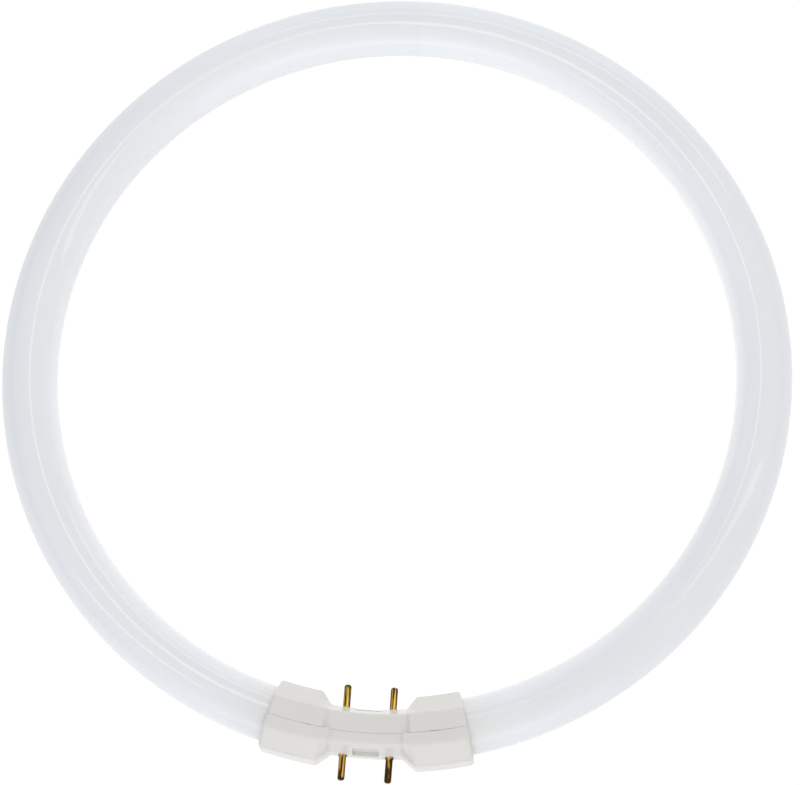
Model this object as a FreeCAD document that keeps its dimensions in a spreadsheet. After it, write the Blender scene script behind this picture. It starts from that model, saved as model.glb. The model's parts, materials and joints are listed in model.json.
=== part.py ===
"""Ring-shaped fluorescent lamp: a sealed glass ring, a two-part moulded base and four contact pins.

The ring lies flat in the XY plane with its centre at the origin, and the base is at -Y. A place on
the base is given by its distance along the centreline of the tube, from the middle of the base, by
its offset from that centreline, away from the middle of the ring, and by its height. Sizes are in mm.
"""
import FreeCAD, Part
import os
import Sketcher

SIZES = {
    # The glass ring
    "ring_outer_diameter": 225.0,
    "tube_diameter": 16.0,
    "tube_gap": 29.0,
    "tube_end_radius": 2.5,
    "exhaust_tip_diameter": 3.6,
    "exhaust_tip_length": 2.4,
    "exhaust_tip_radius": 1.2,
    # The outside of the base: two eight-sided collars and a narrower waist between them
    "base_length": 55.6,
    "tube_clearance": 0.15,
    "collar_front_wall": 1.35,
    "waist_step": 1.0,
    "waist_side_height": 5.2,
    "shoulder_foot_radius": 1.5,
    "shoulder_top_radius": 1.2,
    "rim_radius": 1.0,
    # What differs between the two shells: the outer one is wider, with a shorter waist and softer edges
    "inner_waist_length": 22.4,
    "inner_waist_inset": 3.2,
    "inner_side_wall": 1.45,
    "inner_bevel_wall": 1.3,
    "inner_edge_radius": 0.8,
    "outer_waist_length": 18.6,
    "outer_waist_inset": 3.5,
    "outer_side_wall": 2.05,
    "outer_bevel_wall": 1.96,
    "outer_edge_radius": 2.2,
    # The seam between the two shells, and the pegs that line them up
    "seam_offset": 1.5,
    "seam_gap": 0.02,
    "seam_chamfer": 0.15,
    "peg_diameter": 1.4,
    "peg_length": 1.5,
    "peg_root": 1.0,
    "peg_clearance": 0.05,
    # The wiring chamber, and the key notch in the side of each shell
    "chamber_width": 8.4,
    "chamber_height": 11.0,
    "chamber_radius": 1.5,
    "notch_width": 7.3,
    "notch_depth": 1.2,
    "notch_floor": 1.0,
    # The contact pins
    "pin_spacing": 13.0,
    "pin_diameter": 2.0,
    "pin_length": 7.0,
    "pin_tip_radius": 0.75,
    "pin_wall": 0.8,
    "pin_clearance": 0.03,
    "shank_diameter": 2.4,
    "shank_proud": 0.25,
    "flange_diameter": 3.4,
    "flange_thickness": 0.8,
    "tail_diameter": 1.6,
    "tail_length": 1.2,
    # The bare lead wires from the tube ends to the pins
    "wire_diameter": 0.5,
    "wire_clearance": 0.05,
    "wire_offset": 2.4,
    "wire_bend": 0.9,
    "wire_depth": 0.9,
}

doc = FreeCAD.newDocument("ring_lamp")
sheet = doc.addObject("Spreadsheet::Sheet", "Sizes")
for row, (name, size) in enumerate(SIZES.items(), start=1):
    sheet.set(f"A{row}", name)
    sheet.set(f"B{row}", str(size))
    sheet.setAlias(f"B{row}", name)
doc.recompute()


def cell(name):
    """Expression for one size of the sheet."""
    return f"Sizes.{name}"


def half(name):
    """Expression for half of one size of the sheet."""
    return f"(Sizes.{name} / 2)"


# Sizes that follow from the sheet, as expressions
RING_RADIUS = f"({half('ring_outer_diameter')} - {half('tube_diameter')})"
TUBE_END = half("tube_gap")
BORE_RADIUS = f"({half('tube_diameter')} + {cell('tube_clearance')})"
COLLAR_HEIGHT = f"({BORE_RADIUS} + {cell('collar_front_wall')})"
WAIST_HEIGHT = f"({COLLAR_HEIGHT} - {cell('waist_step')})"
WAIST_SIDE = half("waist_side_height")
RIM_START = f"({half('base_length')} - {cell('rim_radius')})"
PEG_HEIGHT = f"(({half('chamber_height')} + {WAIST_HEIGHT}) / 2)"
PEG_ROOT = f"({cell('seam_offset')} + {cell('peg_root')})"

# Which way a piece lies from the centreline of the tube
INNER = -1
OUTER = 1
SIDE_NAMES = {INNER: "inner", OUTER: "outer"}
# Which way a piece lies from the middle of the base
LEFT = -1
RIGHT = 1

# How a sketch numbers its own axes, its origin and the points of a curve
ACROSS_AXIS = -1
UP_AXIS = -2
ORIGIN = (-1, 1)
START = 1
END = 2
CENTRE = 3

# Radii that differ by less than this are the same, in mm
SAME = 1e-6


def side_cell(side, name):
    """Expression for a size that each of the two shells has for itself."""
    return cell(f"{SIDE_NAMES[side]}_{name}")


def collar_width(side):
    return f"({BORE_RADIUS} + {side_cell(side, 'side_wall')})"


def bevel_reach(side):
    """Height plus width of any point on the bevel of 45 degrees along the collar."""
    return f"(sqrt(2) * ({BORE_RADIUS} + {side_cell(side, 'bevel_wall')}))"


def collar_flat(side):
    return f"({bevel_reach(side)} - {COLLAR_HEIGHT})"


def collar_side(side):
    return f"({bevel_reach(side)} - {collar_width(side)})"


def waist_width(side):
    return f"({collar_width(side)} - {side_cell(side, 'waist_inset')})"


def shoulder_start(side):
    return f"({side_cell(side, 'waist_length')} / 2)"


def shoulder_end(side):
    return f"({shoulder_start(side)} + {side_cell(side, 'waist_inset')})"


def seam_place(side):
    """Offset of the face with which a shell meets the other one."""
    return f"({cell('seam_offset')} + {cell('seam_gap')})" if side == OUTER else cell("seam_offset")


def fillet_reach(radius):
    """Length that a fillet takes off each of two lines that meet at 45 degrees."""
    return f"({cell(radius)} * tan(22.5 deg))"


def flange_seat(side):
    return f"({waist_width(side)} - {cell('pin_wall')})"


def wire_end(side):
    tail_end = f"({flange_seat(side)} - {cell('flange_thickness')} - {cell('tail_length')})"
    return f"({tail_end} + {cell('wire_depth')})"


def value(expression):
    """Number that an expression gives with the sizes in the sheet."""
    return float(sheet.evalExpression(expression))


def turn(distance):
    """Angle about the middle of the ring, in degrees, of a distance along the centreline."""
    return f"({distance} / {RING_RADIUS} * 180 / pi)"


def radius_at(offset, side=OUTER):
    """Distance from the middle of the ring at an offset from the centreline."""
    return f"({RING_RADIUS} + {side} * {offset})"


def new_body(label):
    body = doc.addObject("PartDesign::Body", label)
    body.Label = label
    return body


def origin_plane(body, role):
    return next(item for item in body.Origin.OriginFeatures if item.Role == role)


def new_sketch(body, name, role, lift=None):
    """Sketch on an origin plane of the body, or lifted off it along its normal."""
    sketch = body.newObject("Sketcher::SketchObject", f"{body.Label}_{name}")
    sketch.AttachmentSupport = [(origin_plane(body, role), "")]
    sketch.MapMode = "FlatFace"
    if lift:
        sketch.setExpression("AttachmentOffset.Base.z", lift)
    return sketch


def new_section_sketch(body, name, distance):
    """Sketch on the plane through the ring's axis at a distance along the base, to the right.

    Its vertical axis is the axis of the ring, and the base lies to the left of that axis.
    """
    sketch = new_sketch(body, name, "YZ_Plane")
    about_ring_axis = FreeCAD.Rotation(FreeCAD.Vector(0, 1, 0), value(turn(distance)))
    sketch.AttachmentOffset = FreeCAD.Placement(FreeCAD.Vector(), about_ring_axis)
    sketch.setExpression("AttachmentOffset.Rotation.Angle", turn(distance))
    return sketch


def fix_point(sketch, curve, end, across, up):
    """Tie a point of a sketch curve to two expressions, its distances from the sketch's origin."""
    for kind, axis, distance in (("DistanceX", UP_AXIS, across), ("DistanceY", ACROSS_AXIS, up)):
        size = value(distance)
        if size == 0:
            sketch.addConstraint(Sketcher.Constraint("PointOnObject", curve, end, axis))
        elif size > 0:
            index = sketch.addConstraint(Sketcher.Constraint(kind, *ORIGIN, curve, end, size))
            sketch.setExpression(f"Constraints[{index}]", distance)
        else:
            index = sketch.addConstraint(Sketcher.Constraint(kind, curve, end, *ORIGIN, -size))
            sketch.setExpression(f"Constraints[{index}]", f"-({distance})")


def fix_radius(sketch, curve, radius):
    index = sketch.addConstraint(Sketcher.Constraint("Radius", curve, value(radius)))
    sketch.setExpression(f"Constraints[{index}]", radius)


def draw_circle(sketch, across, up, radius):
    centre = FreeCAD.Vector(value(across), value(up), 0)
    circle = Part.Circle(centre, FreeCAD.Vector(0, 0, 1), value(radius))
    curve = sketch.addGeometry(circle, False)
    fix_point(sketch, curve, CENTRE, across, up)
    fix_radius(sketch, curve, radius)


def draw_lines(sketch, corners, closed):
    """Straight lines through corners that are given as pairs of expressions."""
    places = [FreeCAD.Vector(value(across), value(up), 0) for across, up in corners]
    ends = places[1:] + places[:1] if closed else places[1:]
    lines = [Part.LineSegment(start, end) for start, end in zip(places, ends)]
    sketch.addGeometry(lines, False)
    last = len(lines) - 1
    for number in range(last):
        sketch.addConstraint(Sketcher.Constraint("Coincident", number, END, number + 1, START))
    if closed:
        sketch.addConstraint(Sketcher.Constraint("Coincident", last, END, 0, START))
    for number in range(len(lines)):
        fix_point(sketch, number, START, *corners[number])
    if not closed:
        fix_point(sketch, last, END, *corners[-1])
    doc.recompute()


def round_corners(sketch, numbers, radius):
    """Round the corners at which the numbered lines start, and keep the corners' places."""
    for number in numbers:
        arc = sketch.GeometryCount
        sketch.fillet(number, START, value(radius), True, True)
        fix_radius(sketch, arc, radius)


def add_feature(body, kind, name, profile, **settings):
    """Feature of a body from a profile sketch. A setting that is text is an expression."""
    feature = body.newObject(f"PartDesign::{kind}", f"{body.Label}_{name}")
    feature.Profile = profile
    for key, setting in settings.items():
        if isinstance(setting, str):
            feature.setExpression(key, setting)
        else:
            setattr(feature, key, setting)
    doc.recompute()
    return feature


def revolve(body, kind, name, sketch, angle, **settings):
    """Revolution or groove about the vertical axis of its sketch."""
    axis = (sketch, ["V_Axis"])
    return add_feature(body, kind, name, sketch, ReferenceAxis=axis, Angle=angle, **settings)


def loft(body, name, sections):
    levels = [(section, [""]) for section in sections[1:]]
    return add_feature(body, "AdditiveLoft", name, sections[0], Sections=levels, Ruled=True)


def mirror_across(body, name, features):
    """Copy features of the right half of the base to the left half."""
    mirrored = body.newObject("PartDesign::Mirrored", f"{body.Label}_{name}")
    mirrored.Originals = features
    mirrored.MirrorPlane = (origin_plane(body, "YZ_Plane"), [""])
    body.Tip = mirrored
    doc.recompute()


def round_edges(body, name, is_chosen, radius):
    """Round the edges of the body that pass a test."""
    base = body.Tip
    names = [f"Edge{number}" for number, edge in enumerate(base.Shape.Edges, 1) if is_chosen(edge)]
    fillet = body.newObject("PartDesign::Fillet", f"{body.Label}_{name}")
    fillet.Base = (base, names)
    fillet.setExpression("Radius", radius)
    doc.recompute()


def circle_test(radius):
    """Test for an edge that is a circle of one radius."""
    size = value(radius)
    return lambda edge: isinstance(edge.Curve, Part.Circle) and abs(edge.Curve.Radius - size) < SAME


def make_tube():
    """Sealed glass ring with two closed ends and an exhaust tip on each."""
    body = new_body("glass_tube")
    section = new_sketch(body, "section", "YZ_Plane")
    draw_circle(section, RING_RADIUS, "0", half("tube_diameter"))
    revolve(body, "Revolution", "ring", section, f"360 - 2 * {turn(TUBE_END)}", Midplane=True)
    round_edges(body, "closed_ends", circle_test(half("tube_diameter")), cell("tube_end_radius"))
    seat = new_section_sketch(body, "tip_section", TUBE_END)
    draw_circle(seat, f"-{RING_RADIUS}", "0", half("exhaust_tip_diameter"))
    length = cell("exhaust_tip_length")
    tip = add_feature(body, "Pad", "exhaust_tip", seat, Reversed=True, Length=length)
    mirror_across(body, "both_tips", [tip])
    is_tip_circle = circle_test(half("exhaust_tip_diameter"))
    seat_place = value(f"{RING_RADIUS} * sin({turn(TUBE_END)} * 1 deg)")
    end_limit = seat_place - value(length) / 2
    round_edges(body, "tip_ends",
                lambda edge: is_tip_circle(edge) and abs(edge.Curve.Center.x) < end_limit,
                cell("exhaust_tip_radius"))


def draw_shell_section(sketch, side, height, width, flat, side_height):
    """Half of an eight-sided section with rounded edges, cut at the seam between the shells."""
    seam = radius_at(seam_place(side))
    upper_half = [
        (f"-{seam}", f"({height} - {cell('seam_chamfer')})"),
        (f"-({seam} + {side} * {cell('seam_chamfer')})", height),
        (f"-{radius_at(flat, side)}", height),
        (f"-{radius_at(width, side)}", side_height),
    ]
    lower_half = [(across, f"-{up}") for across, up in reversed(upper_half)]
    draw_lines(sketch, upper_half + lower_half, closed=True)
    round_corners(sketch, (2, 3, 4, 5), side_cell(side, "edge_radius"))


def shell_section(body, name, side, distance, *measures):
    sketch = new_section_sketch(body, name, distance)
    draw_shell_section(sketch, side, *measures)
    return sketch


def add_waist(body, side):
    section = new_sketch(body, "waist_section", "YZ_Plane")
    draw_shell_section(section, side, WAIST_HEIGHT, waist_width(side), collar_flat(side), WAIST_SIDE)
    end = f"({shoulder_start(side)} - {fillet_reach('shoulder_foot_radius')})"
    revolve(body, "Revolution", "waist", section, f"2 * {turn(end)}", Midplane=True)


def shoulder_places(side):
    """Distances along the base and rises of the side, from the waist to the collar.

    The rise starts with a hollow foot, goes on at 45 degrees and ends with a rounded top. The front
    reaches the height of the collar on the way.
    """
    start = shoulder_start(side)
    places = []
    for degrees in (0, 22.5, 45):
        radius = cell("shoulder_foot_radius")
        along = f"({start} - {fillet_reach('shoulder_foot_radius')} + {radius} * sin({degrees} deg))"
        places.append((along, f"({radius} * (1 - cos({degrees} deg)))"))
    places.append((f"({start} + {cell('waist_step')})", cell("waist_step")))
    for degrees in (45, 22.5, 0):
        radius = cell("shoulder_top_radius")
        reach = fillet_reach("shoulder_top_radius")
        along = f"({shoulder_end(side)} + {reach} - {radius} * sin({degrees} deg))"
        inset = side_cell(side, "waist_inset")
        places.append((along, f"({inset} - {radius} * (1 - cos({degrees} deg)))"))
    return places


def shoulder_section(body, side, number, along, rise):
    step = f"min(max({along} - {shoulder_start(side)}; 0); {cell('waist_step')})"
    side_rise = f"(({collar_side(side)} - {WAIST_SIDE}) * {rise} / {side_cell(side, 'waist_inset')})"
    return shell_section(body, f"shoulder_{number}", side, along, f"({WAIST_HEIGHT} + {step})",
                         f"({waist_width(side)} + {rise})", collar_flat(side),
                         f"({WAIST_SIDE} + {side_rise})")


def add_rim(body, side):
    """Rounded end of the collar, a loft through a quarter of a circle."""
    sections = []
    for degrees in (0, 30, 60, 90):
        along = f"({RIM_START} + {cell('rim_radius')} * sin({degrees} deg))"
        drop = f"({cell('rim_radius')} * (1 - cos({degrees} deg)))"
        bevel_drop = f"((sqrt(2) - 1) * {drop})"
        sections.append(shell_section(body, f"rim_{degrees}", side, along,
                                      f"({COLLAR_HEIGHT} - {drop})", f"({collar_width(side)} - {drop})",
                                      f"({collar_flat(side)} - {bevel_drop})",
                                      f"({collar_side(side)} - {bevel_drop})"))
    return loft(body, "rim", sections)


def add_collars(body, side):
    sections = [shoulder_section(body, side, number, along, rise)
                for number, (along, rise) in enumerate(shoulder_places(side), 1)]
    shoulder = loft(body, "shoulder", sections)
    start = f"({shoulder_end(side)} + {fillet_reach('shoulder_top_radius')})"
    collar = revolve(body, "Revolution", "collar", sections[-1], turn(f"({RIM_START} - {start})"))
    rim = add_rim(body, side)
    mirror_across(body, "both_collars", [shoulder, collar, rim])


def cut(body, make, kind, name, sketch, *measures, **settings):
    """Pocket or groove, which has to take material away."""
    before = body.Shape.Volume
    feature = make(body, kind, name, sketch, *measures, **settings)
    if not feature.Shape.Volume < before:
        raise RuntimeError(f"{feature.Name} cuts nothing")
    return feature


def cut_bores(body):
    """Wiring chamber in the waist, and the bores that the tube ends are seated in."""
    inside = f"-{radius_at(half('chamber_width'), INNER)}"
    outside = f"-{radius_at(half('chamber_width'), OUTER)}"
    top = half("chamber_height")
    chamber = new_sketch(body, "chamber_section", "YZ_Plane")
    corners = [(outside, top), (inside, top), (inside, f"-{top}"), (outside, f"-{top}")]
    draw_lines(chamber, corners, closed=True)
    round_corners(chamber, range(len(corners)), cell("chamber_radius"))
    cut(body, revolve, "Groove", "chamber", chamber, f"2 * {turn(TUBE_END)}", Midplane=True)
    bore = new_section_sketch(body, "bore_section", TUBE_END)
    draw_circle(bore, f"-{RING_RADIUS}", "0", BORE_RADIUS)
    sweep = turn(f"({half('base_length')} - {TUBE_END} + {cell('rim_radius')})")
    groove = cut(body, revolve, "Groove", "tube_bore", bore, sweep)
    mirror_across(body, "both_bores", [groove])


def cut_pin_seats(body, side):
    """Holes for the pins in the side of the waist, with flat seats for their flanges inside."""
    for name, diameter, depth in (("pin_holes", "shank_diameter", collar_width(side)),
                                  ("flange_seats", "flange_diameter", flange_seat(side))):
        sketch = new_sketch(body, f"{name}_circles", "XZ_Plane", RING_RADIUS)
        radius = f"({half(diameter)} + {cell('pin_clearance')})"
        for hand in (LEFT, RIGHT):
            draw_circle(sketch, f"{hand} * {half('pin_spacing')}", "0", radius)
        cut(body, add_feature, "Pocket", name, sketch, Reversed=side == OUTER, Length=depth)


def cut_notch(body, side):
    """Key notch in the front edge of the waist, between the pins."""
    wall_offset = f"({waist_width(side)} - {cell('notch_depth')})"
    wall = f"-{radius_at(wall_offset, side)}"
    mouth = f"-{radius_at(collar_width(side), side)}"
    right = half("notch_width")
    sketch = new_sketch(body, "notch_outline", "XY_Plane", cell("notch_floor"))
    corners = [(right, wall), (right, mouth), (f"-{right}", mouth), (f"-{right}", wall)]
    draw_lines(sketch, corners, closed=True)
    cut(body, add_feature, "Pocket", "notch", sketch, Reversed=True, Length=COLLAR_HEIGHT)


def draw_pegs(body, clearance):
    """Circles of the two locating pegs, above and below the wiring chamber."""
    sketch = new_sketch(body, "peg_circles", "XZ_Plane", radius_at(PEG_ROOT))
    for sign in ("", "-"):
        draw_circle(sketch, "0", f"{sign}{PEG_HEIGHT}", f"({half('peg_diameter')} + {clearance})")
    return sketch


def make_inner_shell():
    body = new_body("base_inner_shell")
    shape_shell(body, INNER)
    length = f"({cell('peg_root')} + {cell('peg_length')} + {cell('peg_clearance')})"
    sketch = draw_pegs(body, cell("peg_clearance"))
    cut(body, add_feature, "Pocket", "peg_holes", sketch, Length=length)


def make_outer_shell():
    body = new_body("base_outer_shell")
    shape_shell(body, OUTER)
    length = f"({cell('peg_root')} + {cell('peg_length')})"
    add_feature(body, "Pad", "pegs", draw_pegs(body, "0"), Reversed=True, Length=length)


def shape_shell(body, side):
    """What the two shells of the base have in common."""
    add_waist(body, side)
    add_collars(body, side)
    cut_bores(body)
    cut_pin_seats(body, side)
    cut_notch(body, side)


def make_pin(label, side, hand):
    """Turned pin with a flange inside the base, its tip along the body's own +Z."""
    body = new_body(label)
    hole = f"({half('wire_diameter')} + {cell('wire_clearance')})"
    tail = f"-({cell('flange_thickness')} + {cell('tail_length')})"
    hole_floor = f"({tail} + {cell('wire_depth')} + {cell('wire_clearance')})"
    shank_end = f"({cell('pin_wall')} + {cell('shank_proud')})"
    tip = f"({cell('pin_wall')} + {cell('pin_length')})"
    corners = [
        (hole, tail),
        (half("tail_diameter"), tail),
        (half("tail_diameter"), f"-{cell('flange_thickness')}"),
        (half("flange_diameter"), f"-{cell('flange_thickness')}"),
        (half("flange_diameter"), "0"),
        (half("shank_diameter"), "0"),
        (half("shank_diameter"), shank_end),
        (half("pin_diameter"), shank_end),
        (half("pin_diameter"), tip),
        ("0", tip),
        ("0", hole_floor),
        (hole, hole_floor),
    ]
    profile = new_sketch(body, "profile", "XZ_Plane")
    draw_lines(profile, corners, closed=True)
    round_corners(profile, [corners.index((half("pin_diameter"), tip))], cell("pin_tip_radius"))
    revolve(body, "Revolution", "turned", profile, 360.0)
    outwards = FreeCAD.Rotation(FreeCAD.Vector(1, 0, 0), side * 90)
    body.Placement = FreeCAD.Placement(FreeCAD.Vector(), outwards)
    body.setExpression("Placement.Base.x", f"{hand} * {half('pin_spacing')}")
    body.setExpression("Placement.Base.y", f"-{radius_at(flange_seat(side), side)}")
    doc.recompute()


def make_wire(label, side):
    """Bare lead from the right end of the tube, bent into the tail of a pin."""
    body = new_body(label)
    start_turn = f"({turn(TUBE_END)} * 1 deg)"
    start_radius = radius_at(cell("wire_offset"), side)
    start_across = f"({start_radius} * sin({start_turn}))"
    start_up = f"-({start_radius} * cos({start_turn}))"
    pin_across = half("pin_spacing")
    bend_up = f"({start_up} - ({start_across} - {pin_across}) * tan({start_turn}))"
    end_up = f"-{radius_at(wire_end(side), side)}"
    route = [(start_across, start_up), (pin_across, bend_up), (pin_across, end_up)]
    path = new_sketch(body, "path", "XY_Plane")
    draw_lines(path, route, closed=False)
    round_corners(path, [1], cell("wire_bend"))
    section = new_section_sketch(body, "section", TUBE_END)
    draw_circle(section, f"-{start_radius}", "0", half("wire_diameter"))
    doc.recompute()
    edges = [f"Edge{number}" for number in range(1, len(path.Shape.Edges) + 1)]
    add_feature(body, "AdditivePipe", "bent", section, Spine=(path, edges))
    return body


def make_left_wire(label, right_wire):
    """The same lead at the left end of the tube."""
    wire = doc.addObject("Part::Mirroring", label)
    wire.Label = label
    wire.Source = right_wire
    wire.Normal = FreeCAD.Vector(1, 0, 0)
    doc.recompute()


make_tube()
make_inner_shell()
make_outer_shell()
for side_name, side in (("inner", INNER), ("outer", OUTER)):
    make_pin(f"contact_pin_{side_name}_left", side, LEFT)
    make_pin(f"contact_pin_{side_name}_right", side, RIGHT)
    right_wire = make_wire(f"lead_wire_{side_name}_right", side)
    make_left_wire(f"lead_wire_{side_name}_left", right_wire)
doc.recompute()

failed = [item.Name for item in doc.Objects if {"Invalid", "Error"} & set(item.State)]
if failed:
    raise RuntimeError(f"not made: {failed}")
pieces = [item for item in doc.Objects if item.TypeId in ("PartDesign::Body", "Part::Mirroring")]
for piece in pieces:
    if piece.Shape.isNull() or not piece.Shape.isValid() or len(piece.Shape.Solids) != 1:
        raise RuntimeError(f"not one valid solid: {piece.Label}")
os.makedirs("parts", exist_ok=True)
for piece in pieces:
    piece.Shape.exportStep(f"parts/{piece.Label}.step")
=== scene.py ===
import json
import math

import bpy
from mathutils import Matrix, Vector

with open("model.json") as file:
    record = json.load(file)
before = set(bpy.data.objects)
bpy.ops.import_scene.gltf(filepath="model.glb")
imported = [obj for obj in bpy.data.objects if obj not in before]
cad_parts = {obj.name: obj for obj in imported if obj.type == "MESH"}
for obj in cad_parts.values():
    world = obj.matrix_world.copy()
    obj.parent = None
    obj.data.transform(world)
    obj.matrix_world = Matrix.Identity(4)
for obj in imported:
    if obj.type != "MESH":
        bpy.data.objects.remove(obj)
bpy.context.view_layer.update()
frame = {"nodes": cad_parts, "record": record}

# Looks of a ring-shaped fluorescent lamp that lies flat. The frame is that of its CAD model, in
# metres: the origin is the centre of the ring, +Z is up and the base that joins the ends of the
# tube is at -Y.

MM = 0.001

# Sizes that the materials and the floor share with the CAD model
RING_RADIUS = 104.5 * MM
SEAM_RADIUS = RING_RADIUS + 1.5 * MM
BASE_HALF_LENGTH = 27.8 * MM
PIN_OFFSET = 6.5 * MM
PIN_RADIUS = 1 * MM
PIN_ROOT = 6.5 * MM
PIN_TIP = 13.5 * MM
FLOOR_HEIGHT = -9.5 * MM

# The stretch of the tube next to the base that is a little grey, partly the darker glass at the tube's
# ends and partly painted shade from the base
GREY_END_LENGTH = 14 * MM

# The seam is painted darker: how far the darkening reaches to each side, and its two stretches. A
# stretch is at a place along the ring. It is full as far as its core and fades out at its end.
SEAM_DARK_CORE = 0.05 * MM
SEAM_DARK_END = 0.22 * MM
LEFT_DARK_PLACE = -16.5 * MM
LEFT_DARK_CORE = 0
LEFT_DARK_END = 2.5 * MM
RIGHT_DARK_PLACE = 17 * MM
RIGHT_DARK_CORE = 4 * MM
RIGHT_DARK_END = 8 * MM

# The tip of a pin with its painted dark reflection, the bright root of a pin, and the darker patch
# round the tip of one outer pin
PIN_END_LENGTH = 1 * MM
PIN_DARK_PLACE = (PIN_OFFSET, -RING_RADIUS - PIN_TIP, 0)
PIN_DARK_CORE = 6 * MM
PIN_DARK_END = 14 * MM

# Heights of the unevenness of the surfaces
GLASS_WAVES = 0.03 * MM
PLASTIC_GRAIN = 0.002 * MM
PLASTIC_SWELL = 0.01 * MM
TURNING_MARKS = 0.0015 * MM
RUBBING_MARKS = 0.003 * MM

# The camera: where it stands, in degrees from straight above the ring, and what it sees
IMAGE_WIDTH = 800
CAMERA_DISTANCE = 1.2
CAMERA_TILT = 16.44
CAMERA_TURN = 12.5
CAMERA_ROLL = 4.45
FOCAL_PIXELS = 4219
SENSOR_WIDTH = 36
AIM_RIGHT = 1.17 * MM
AIM_UP = -5.57 * MM

# Colours, as linear red, green and blue
COAT_WHITE = (0.865, 0.90, 0.945, 1)
COAT_GREY = (0.84, 0.875, 0.92, 1)
COAT_END = (0.80, 0.79, 0.77, 1)
PLASTIC_WHITE = (0.775, 0.77, 0.755, 1)
PLASTIC_GREY = (0.755, 0.75, 0.73, 1)
SEAM_DARK = (0.30, 0.27, 0.23, 1)
BRASS_BRIGHT = (0.66, 0.43, 0.085, 1)
BRASS_BROWN = (0.060, 0.036, 0.010, 1)
NICKEL_LIGHT = (0.72, 0.70, 0.66, 1)
NICKEL_DARK = (0.50, 0.48, 0.44, 1)
PURE_WHITE = (1, 1, 1, 1)

# The floor is a table with a glowing band across it. The band lies at a distance from the middle
# of the ring, along a direction, and its glow reaches a little past the ring.
FLOOR_HALF_WIDTH = 4.0
BAND_DIRECTION = (0.5, -0.87, 0)
BAND_DISTANCE = 30 * MM
BAND_HALF_WIDTH = 30 * MM
BAND_FADE = 90 * MM
GLOW_RADIUS = 105 * MM
GLOW_FADE = 45 * MM
GLOW_INSIDE = (0.74, 0.70, 0.61, 1)
GLOW_OUTSIDE = (0.12, 0.12, 0.11, 1)
TABLE_WHITE = (0.7, 0.7, 0.7, 1)

# What the camera and reflections see of the table: white, less a little shadow
SEEN_WHITE = 0.9
SEEN_SHADE = (0.16, 0.16, 0.16, 1)

# The light of the room from each side and from above, and the height of the lamps
ROOM_BACK = (1.28, 1.33, 1.41, 1)
ROOM_FRONT = (1.92, 1.95, 2.02, 1)
ROOM_LEFT = (0.42, 0.435, 0.53, 1)
ROOM_RIGHT = (0.68, 0.66, 0.68, 1)
ROOM_HIGH = (0.74, 0.72, 0.69, 1)
LAMP_HEIGHT = 0.6


# Shader node helpers

# The sockets of a mix node that are for colours, by their number
MIX_FACTOR = 0
MIX_FIRST_COLOUR = 6
MIX_SECOND_COLOUR = 7
MIX_COLOUR = 2


def new_material(name):
    """A node material with one principled shader, which is returned with its tree."""
    material = bpy.data.materials.new(name)
    material.use_nodes = True
    tree = material.node_tree
    shader = tree.nodes["Principled BSDF"]
    return material, tree, shader


def add_node(tree, kind, inputs=None, **settings):
    """A node with its settings, and its inputs set to numbers or linked to outputs."""
    node = tree.nodes.new("ShaderNode" + kind)
    for name, setting in settings.items():
        setattr(node, name, setting)
    for name, source in (inputs or {}).items():
        if isinstance(source, bpy.types.NodeSocket):
            tree.links.new(source, node.inputs[name])
        else:
            node.inputs[name].default_value = source
    return node


def math_node(tree, operation, first, second=0.0):
    node = add_node(tree, "Math", {0: first, 1: second}, operation=operation)
    return node.outputs["Value"]


def object_position(tree):
    return add_node(tree, "TexCoord").outputs["Object"]


def ring_position(tree):
    """Position as distance along the ring from the middle of the base, radius and height."""
    parts = add_node(tree, "SeparateXYZ", {"Vector": object_position(tree)})
    across = parts.outputs["X"]
    towards_base = math_node(tree, "MULTIPLY", parts.outputs["Y"], -1.0)
    angle = math_node(tree, "ARCTAN2", across, towards_base)
    along = math_node(tree, "MULTIPLY", angle, RING_RADIUS)
    flat = add_node(tree, "CombineXYZ", {"X": across, "Y": towards_base})
    radius = add_node(tree, "VectorMath", {0: flat.outputs["Vector"]}, operation="LENGTH")
    return along, radius.outputs["Value"], parts.outputs["Z"]


def noise(tree, position, scale, stretch=(1, 1, 1), detail=3.0):
    """Noise from 0 to 1. Stretch is how much longer its grains are along x, y and z."""
    shrink = tuple(1 / amount for amount in stretch)
    mapping = add_node(tree, "Mapping", {"Vector": position, "Scale": shrink})
    texture = add_node(
        tree, "TexNoise", {"Vector": mapping.outputs["Vector"], "Scale": scale, "Detail": detail}
    )
    return texture.outputs["Fac"]


def spread(tree, value, low, high, new_low=0.0, new_high=1.0):
    """Value from low to high, moved to new_low to new_high with soft ends."""
    inputs = {"Value": value, "From Min": low, "From Max": high, "To Min": new_low, "To Max": new_high}
    node = add_node(tree, "MapRange", inputs, interpolation_type="SMOOTHSTEP")
    return node.outputs["Result"]


def nearness(tree, value, place, near, far):
    """1 where a value is within near of a place, and 0 where it is far or further from it."""
    distance = math_node(tree, "ABSOLUTE", math_node(tree, "SUBTRACT", value, place))
    return spread(tree, distance, near, far, new_low=1.0, new_high=0.0)


def add_up(tree, values):
    total = values[0]
    for value in values[1:]:
        total = math_node(tree, "ADD", total, value)
    return total


def blend_colours(tree, factor, first, second):
    inputs = {MIX_FACTOR: factor, MIX_FIRST_COLOUR: first, MIX_SECOND_COLOUR: second}
    node = add_node(tree, "Mix", inputs, data_type="RGBA")
    return node.outputs[MIX_COLOUR]


def bump(tree, height, distance, under=None):
    """A bump as high as the distance where the height is 1, laid over another one."""
    node = add_node(tree, "Bump", {"Height": height, "Strength": 1.0, "Distance": distance})
    if under is not None:
        tree.links.new(under, node.inputs["Normal"])
    return node.outputs["Normal"]


# Coated glass

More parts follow.
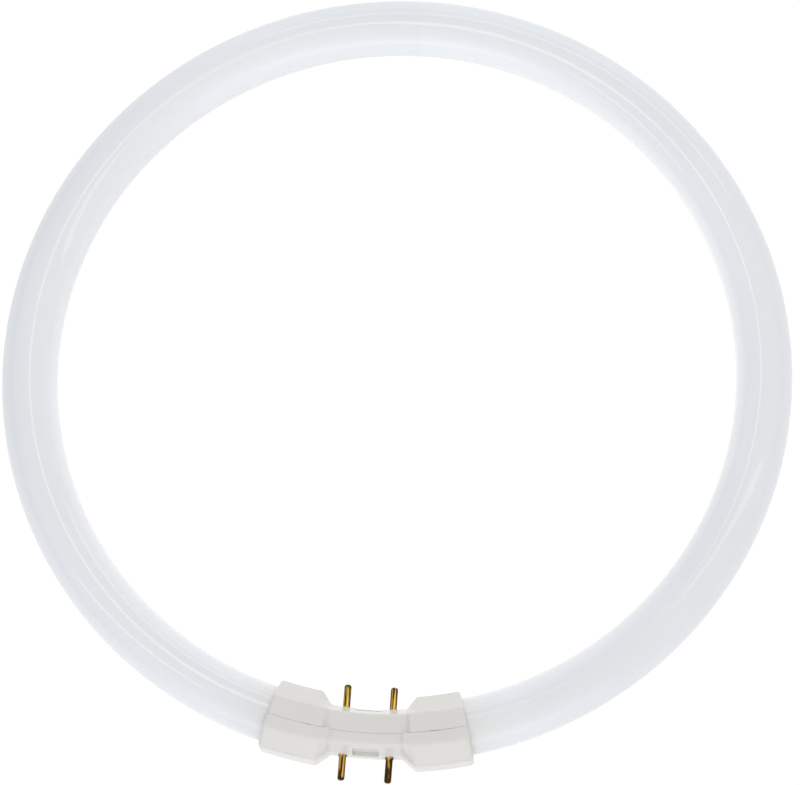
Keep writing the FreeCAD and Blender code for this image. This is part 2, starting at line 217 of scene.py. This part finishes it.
def make_coated_glass():
    """Clear gloss glass over the matt white powder inside it, a little grey towards the ends, partly as
    painted shade from the base.
    """
    material, tree, shader = new_material("coated_glass")
    along, radius, height = ring_position(tree)
    unrolled = add_node(tree, "CombineXYZ", {"X": along, "Y": radius, "Z": height})
    position = unrolled.outputs["Vector"]
    clouds = spread(tree, noise(tree, position, scale=40, stretch=(3, 1, 1)), 0.35, 0.65)
    coat = blend_colours(tree, clouds, COAT_WHITE, COAT_GREY)
    from_base = math_node(tree, "ABSOLUTE", along)
    end_reach = BASE_HALF_LENGTH + GREY_END_LENGTH
    # Greyer next to the base: partly the darker glass at the ends of the tube, partly painted shade
    # from the base
    near_end = spread(tree, from_base, BASE_HALF_LENGTH, end_reach, new_low=0.5, new_high=0.0)
    colour = blend_colours(tree, near_end, coat, COAT_END)
    tree.links.new(colour, shader.inputs["Base Color"])
    ripples = noise(tree, position, scale=160, stretch=(12, 1, 1), detail=1.0)
    tree.links.new(bump(tree, ripples, GLASS_WAVES), shader.inputs["Coat Normal"])
    shader.inputs["Roughness"].default_value = 0.7
    shader.inputs["Specular IOR Level"].default_value = 0.1
    shader.inputs["Coat Weight"].default_value = 1.0
    shader.inputs["Coat Roughness"].default_value = 0.03
    shader.inputs["Coat IOR"].default_value = 1.5
    return material


# Plastic of the base

def seam_darkening(tree, position):
    """1 where the seam between the halves of the base is painted darkest, and 0 off the seam."""
    along, radius = ring_position(tree)[:2]
    in_seam = nearness(tree, radius, SEAM_RADIUS, SEAM_DARK_CORE, SEAM_DARK_END)
    left = nearness(tree, along, LEFT_DARK_PLACE, LEFT_DARK_CORE, LEFT_DARK_END)
    right = nearness(tree, along, RIGHT_DARK_PLACE, RIGHT_DARK_CORE, RIGHT_DARK_END)
    stretches = math_node(tree, "MAXIMUM", left, right)
    blotches = noise(tree, position, scale=240, detail=2.0)
    patches = spread(tree, blotches, 0.40, 0.65, new_low=0.1, new_high=0.6)
    darkening = math_node(tree, "MULTIPLY", stretches, patches)
    return math_node(tree, "MULTIPLY", in_seam, darkening)


def make_base_plastic():
    """Warm white moulding with a fine grain, painted darker along stretches of the seam between its
    halves.
    """
    material, tree, shader = new_material("base_plastic")
    position = object_position(tree)
    clouds = spread(tree, noise(tree, position, scale=90), 0.3, 0.7)
    plain = blend_colours(tree, clouds, PLASTIC_WHITE, PLASTIC_GREY)
    colour = blend_colours(tree, seam_darkening(tree, position), plain, SEAM_DARK)
    tree.links.new(colour, shader.inputs["Base Color"])
    smears = noise(tree, position, scale=220)
    roughness = spread(tree, smears, 0.3, 0.7, new_low=0.18, new_high=0.25)
    tree.links.new(roughness, shader.inputs["Roughness"])
    swell = bump(tree, noise(tree, position, scale=130, detail=1.0), PLASTIC_SWELL)
    grain = noise(tree, position, scale=4200, detail=2.0)
    surface = bump(tree, grain, PLASTIC_GRAIN, under=swell)
    tree.links.new(surface, shader.inputs["Normal"])
    shader.inputs["IOR"].default_value = 1.5
    return material


# Brass of the pins

def pin_wear_and_painted_reflection(tree, position, rubbing):
    """How dark a pin is, from rubbed bright to brown: its worn marks and what each place adds to them,
    with painted dark reflection on its sides and tip.
    """
    parts = add_node(tree, "SeparateXYZ", {"Vector": position})
    from_middle = math_node(tree, "ABSOLUTE", parts.outputs["X"])
    from_axis = math_node(tree, "ABSOLUTE", math_node(tree, "SUBTRACT", from_middle, PIN_OFFSET))
    towards_base = math_node(tree, "MULTIPLY", parts.outputs["Y"], -1.0)
    outward = math_node(tree, "SUBTRACT", towards_base, RING_RADIUS)
    from_ring = math_node(tree, "ABSOLUTE", outward)
    from_dark_patch = add_node(tree, "VectorMath", {0: position, 1: PIN_DARK_PLACE}, operation="DISTANCE")
    streaks = spread(tree, rubbing, 0.38, 0.62, new_low=0.1, new_high=0.9)
    patches = noise(tree, position, scale=420, stretch=(1, 1.6, 1))
    marks = math_node(tree, "MULTIPLY", add_up(tree, (streaks, patches)), 0.5)
    # Painted dark reflection along the sides of a pin
    painted_side_reflection = spread(tree, from_axis, PIN_RADIUS / 2, PIN_RADIUS, new_low=0.0, new_high=0.26)
    root_end = PIN_ROOT + PIN_END_LENGTH
    at_root = spread(tree, from_ring, PIN_ROOT, root_end, new_low=-0.2, new_high=0.0)
    towards_tip = spread(tree, from_ring, PIN_ROOT, PIN_TIP, new_low=-0.08, new_high=0.01)
    # Painted dark reflection at the tip of a pin
    painted_tip_reflection = spread(tree, from_ring, PIN_TIP - PIN_END_LENGTH, PIN_TIP, new_low=0.0, new_high=0.3)
    outside = spread(tree, outward, -PIN_ROOT, PIN_ROOT, new_low=0.0, new_high=0.05)
    distance = from_dark_patch.outputs["Value"]
    darkening = spread(tree, distance, PIN_DARK_CORE, PIN_DARK_END, new_low=0.20, new_high=0.0)
    return add_up(tree, (marks, painted_side_reflection, at_root, towards_tip, painted_tip_reflection, outside, darkening))


def make_pin_brass():
    """Polished brass, rubbed bright in streaks, with painted dark reflection on the sides and the tips.

    The outer pins are browner than the inner ones, and one of them most of all.
    """
    material, tree, shader = new_material("pin_brass")
    position = object_position(tree)
    rubbing = noise(tree, position, scale=1700, stretch=(1, 20, 1), detail=2.0)
    wear_and_painted_reflection = pin_wear_and_painted_reflection(tree, position, rubbing)
    brown = spread(tree, wear_and_painted_reflection, 0.40, 0.62)
    colour = blend_colours(tree, brown, BRASS_BRIGHT, BRASS_BROWN)
    tree.links.new(colour, shader.inputs["Base Color"])
    roughness = spread(tree, wear_and_painted_reflection, 0.45, 0.75, new_low=0.10, new_high=0.28)
    tree.links.new(roughness, shader.inputs["Roughness"])
    turning = add_node(
        tree, "TexWave", {"Vector": position, "Scale": 1400.0, "Distortion": 0.4}, bands_direction="Y"
    )
    rubbed = bump(tree, rubbing, RUBBING_MARKS)
    surface = bump(tree, turning.outputs["Fac"], TURNING_MARKS, under=rubbed)
    tree.links.new(surface, shader.inputs["Normal"])
    shader.inputs["Metallic"].default_value = 1.0
    return material


# Nickel of the wires

def make_lead_wire():
    """Drawn nickel-plated wire with fine marks along it."""
    material, tree, shader = new_material("lead_wire")
    position = object_position(tree)
    drawing = noise(tree, position, scale=5000, stretch=(1, 8, 1), detail=2.0)
    colour = blend_colours(tree, drawing, NICKEL_LIGHT, NICKEL_DARK)
    tree.links.new(colour, shader.inputs["Base Color"])
    roughness = spread(tree, drawing, 0.3, 0.7, new_low=0.22, new_high=0.40)
    tree.links.new(roughness, shader.inputs["Roughness"])
    shader.inputs["Metallic"].default_value = 1.0
    return material


def dress_nodes():
    """Gives each CAD node the material of its slot in the record."""
    materials = {
        "coated_glass": make_coated_glass(),
        "base_plastic": make_base_plastic(),
        "pin_brass": make_pin_brass(),
        "lead_wire": make_lead_wire(),
    }
    for part in frame["record"]["subparts"]:
        node = frame["nodes"][part["node"]]
        for place in node.material_slots:
            place.link = "OBJECT"
            place.material = materials[part["material_slot"]]


# Floor

def table_glow(tree):
    """Colour of the table's own light, which is strongest in the band below the ring."""
    place = object_position(tree)
    across = add_node(tree, "VectorMath", {0: place, 1: BAND_DIRECTION}, operation="DOT_PRODUCT")
    band_end = BAND_HALF_WIDTH + BAND_FADE
    in_band = nearness(tree, across.outputs["Value"], BAND_DISTANCE, BAND_HALF_WIDTH, band_end)
    from_middle = add_node(tree, "VectorMath", {0: place}, operation="LENGTH")
    glow_end = GLOW_RADIUS + GLOW_FADE
    below_ring = nearness(tree, from_middle.outputs["Value"], 0, GLOW_RADIUS, glow_end)
    glow = math_node(tree, "MULTIPLY", in_band, below_ring)
    return blend_colours(tree, glow, GLOW_OUTSIDE, GLOW_INSIDE)


def glowing_surface(tree, colour, light, strength):
    """A matt surface that glows."""
    matt = add_node(tree, "BsdfDiffuse", {"Color": colour})
    glow = add_node(tree, "Emission", {"Color": light, "Strength": strength})
    both = add_node(tree, "AddShader", {0: matt.outputs["BSDF"], 1: glow.outputs["Emission"]})
    return both.outputs["Shader"]


def seen_directly(tree):
    """1 where the camera, a reflection or a view through glass shows the table, and 0 otherwise."""
    path = add_node(tree, "LightPath")
    seen = math_node(tree, "MAXIMUM", path.outputs["Is Camera Ray"], path.outputs["Is Glossy Ray"])
    return math_node(tree, "MAXIMUM", seen, path.outputs["Is Transmission Ray"])


def make_floor_white():
    """A white table whose glowing band lights the lamp from below.

    To the camera and in reflections the table is white, with the faint shadow of the lamp.
    """
    material = bpy.data.materials.new("floor_white")
    material.use_nodes = True
    tree = material.node_tree
    tree.nodes.clear()
    table = glowing_surface(tree, TABLE_WHITE, table_glow(tree), 1.0)
    shown = glowing_surface(tree, SEEN_SHADE, PURE_WHITE, SEEN_WHITE)
    floor = add_node(tree, "MixShader", {0: seen_directly(tree), 1: table, 2: shown})
    add_node(tree, "OutputMaterial", {"Surface": floor.outputs["Shader"]})
    return material


def make_floor():
    half = FLOOR_HALF_WIDTH
    corners = [(-half, -half), (half, -half), (half, half), (-half, half)]
    mesh = bpy.data.meshes.new("floor")
    mesh.from_pydata([(x, y, FLOOR_HEIGHT) for x, y in corners], [], [(0, 1, 2, 3)])
    mesh.materials.append(make_floor_white())
    floor = bpy.data.objects.new("floor", mesh)
    bpy.context.scene.collection.objects.link(floor)


# Light

def make_world():
    """A pale room: bright in front and behind, and dimmer at the sides and above.

    Its walls blend into each other by how far a direction points right, back and up, from -1 to 1.
    """
    world = bpy.data.worlds.new("pale_room")
    world.use_nodes = True
    tree = world.node_tree
    background = tree.nodes["Background"]
    direction = add_node(tree, "TexCoord").outputs["Generated"]
    parts = add_node(tree, "SeparateXYZ", {"Vector": direction})
    rightward = spread(tree, parts.outputs["X"], -0.5, 0.5)
    sides = blend_colours(tree, rightward, ROOM_LEFT, ROOM_RIGHT)
    backward = spread(tree, parts.outputs["Y"], -0.5, 0.5)
    ends = blend_colours(tree, backward, ROOM_FRONT, ROOM_BACK)
    sideways = spread(tree, math_node(tree, "ABSOLUTE", parts.outputs["X"]), 0.3, 0.9)
    walls = blend_colours(tree, sideways, ends, sides)
    upward = spread(tree, parts.outputs["Z"], 0.1, 0.75)
    colour = blend_colours(tree, upward, walls, ROOM_HIGH)
    tree.links.new(colour, background.inputs["Color"])
    background.inputs["Strength"].default_value = 1.0
    bpy.context.scene.world = world


def add_panel(name, x_range, y_range, power):
    """A flat lamp that hangs level above the ring. The camera looks past it."""
    data = bpy.data.lights.new(name, "AREA")
    data.shape = "RECTANGLE"
    data.size = x_range[1] - x_range[0]
    data.size_y = y_range[1] - y_range[0]
    data.energy = power
    panel = bpy.data.objects.new(name, data)
    panel.location = (sum(x_range) / 2, sum(y_range) / 2, LAMP_HEIGHT)
    panel.visible_camera = False
    bpy.context.scene.collection.objects.link(panel)


def make_lights():
    """Lamps round the camera, which draw the light lines along the glass."""
    add_panel("back_lamp", x_range=(-0.30, 0.65), y_range=(0.67, 0.83), power=0.8)
    add_panel("middle_lamp", x_range=(-0.10, -0.03), y_range=(0.06, 0.20), power=0.06)
    add_panel("right_lamp", x_range=(0.10, 0.58), y_range=(0.03, 0.09), power=0.12)
    add_panel("left_lamp", x_range=(-0.67, -0.26), y_range=(-0.29, -0.21), power=0.18)


# Camera

def camera_placement():
    """Above the ring, leaning a little towards the base and to the right, and aimed past the centre."""
    tilt = math.radians(CAMERA_TILT)
    turn = math.radians(CAMERA_TURN)
    roll = math.radians(CAMERA_ROLL)
    back = Vector((math.sin(tilt) * math.sin(turn), -math.sin(tilt) * math.cos(turn), math.cos(tilt)))
    level = Vector((0, 1, 0)).cross(back).normalized()
    ahead = back.cross(level)
    right = math.cos(roll) * level + math.sin(roll) * ahead
    up = math.cos(roll) * ahead - math.sin(roll) * level
    place = CAMERA_DISTANCE * back
    aim = AIM_RIGHT * right + AIM_UP * up
    back = (place - aim).normalized()
    right = up.cross(back).normalized()
    up = back.cross(right)
    turned = Matrix((right, up, back)).transposed().to_4x4()
    return Matrix.Translation(place) @ turned


def make_camera():
    """The photo's view."""
    data = bpy.data.cameras.new("camera")
    data.sensor_fit = "HORIZONTAL"
    data.sensor_width = SENSOR_WIDTH
    data.lens = FOCAL_PIXELS * SENSOR_WIDTH / IMAGE_WIDTH
    camera = bpy.data.objects.new("camera", data)
    bpy.context.scene.collection.objects.link(camera)
    camera.matrix_world = camera_placement()
    bpy.context.scene.camera = camera


bpy.context.scene.view_settings.view_transform = "Standard"
dress_nodes()
make_floor()
make_world()
make_lights()
make_camera()
